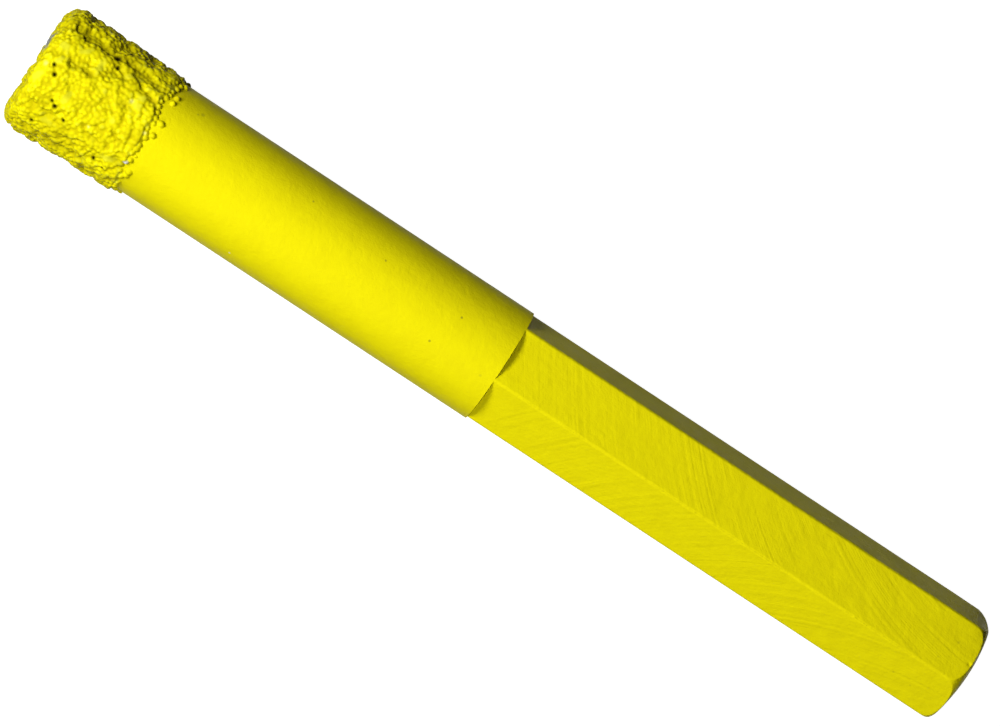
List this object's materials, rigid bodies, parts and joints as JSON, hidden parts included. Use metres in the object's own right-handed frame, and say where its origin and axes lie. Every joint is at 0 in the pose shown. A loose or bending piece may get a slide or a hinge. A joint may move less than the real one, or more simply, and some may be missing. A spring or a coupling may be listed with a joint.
{
  "type": "diamond drill bit",
  "caption": "Diamond core drill bit: round tube body, brazed grit crown round its rim, hexagonal quick-change shank with milled shoulder.",
  "frame": {"origin": "centre of the shank's end face, on the bit's axis", "axes": "+X from the cutting tip to the shank's end, +Z out of the shank's upper flat; the bit lies on the flat that faces -Z"},
  "size_m": [0.065, 0.0082, 0.0082],
  "materials": {
    "yellow_body": "satin yellow coating on steel",
    "yellow_grit": "rough brazed diamond grit under the same yellow coating"
  },
  "bodies": {
    "root": {"bit_body": "yellow_body", "diamond_crown": "yellow_grit"}
  },
  "joints": []
}
